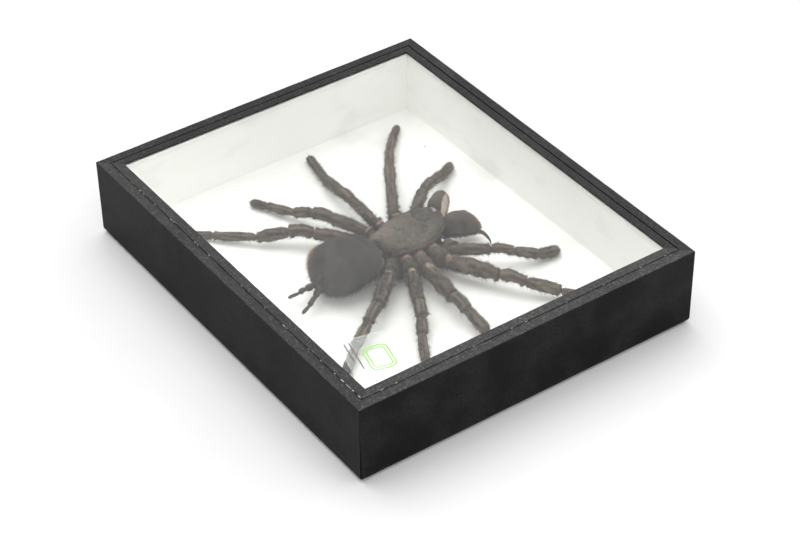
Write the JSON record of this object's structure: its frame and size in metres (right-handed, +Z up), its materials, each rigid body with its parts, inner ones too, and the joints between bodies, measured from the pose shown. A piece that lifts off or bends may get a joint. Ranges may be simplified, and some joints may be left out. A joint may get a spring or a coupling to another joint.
{
  "type": "framed tarantula specimen",
  "caption": "A dried tarantula lying flat with its legs spread, fixed on white board in a shallow black box frame closed by a glass pane held under thin strips.",
  "frame": {"origin": "Middle of the frame's underside, where it rests.", "axes": "+X along the long side, to the spider's right; +Y along the short side, towards the spider's head; +Z up, out through the glass."},
  "size_m": [0.18, 0.15, 0.034],
  "materials": {
    "black_paint": "satin black paint on wood",
    "white_card": "matte white foam board",
    "base_board": "bare brown hardboard",
    "pane_glass": "clear polished float glass",
    "label_film": "clear sticker film, a little milky",
    "dark_chitin": "dry, brown-black, with short hair",
    "carapace_brown": "dry, warm grey-brown, with fine down",
    "abdomen_velvet": "short velvet hair, charcoal",
    "fang_horn": "polished black horn"
  },
  "bodies": {
    "root": {"abdomen": "abdomen_velvet", "base_board": "base_board", "carapace": "carapace_brown", "chelicera_left": "dark_chitin", "chelicera_right": "dark_chitin", "fang_left": "fang_horn", "fang_right": "fang_horn", "glass_pane": "pane_glass", "label_film": "label_film", "leg_left_1": "dark_chitin", "leg_left_2": "dark_chitin", "leg_left_3": "dark_chitin", "leg_left_4": "dark_chitin", "leg_right_1": "dark_chitin", "leg_right_2": "dark_chitin", "leg_right_3": "dark_chitin", "leg_right_4": "dark_chitin", "liner_back": "white_card", "liner_front": "white_card", "liner_left": "white_card", "liner_right": "white_card", "mounting_board": "white_card", "palp_left": "dark_chitin", "palp_right": "dark_chitin", "strip_back": "black_paint", "strip_front": "black_paint", "strip_left": "black_paint", "strip_right": "black_paint", "wall_back": "black_paint", "wall_front": "black_paint", "wall_left": "black_paint", "wall_right": "black_paint"}
  },
  "joints": []
}
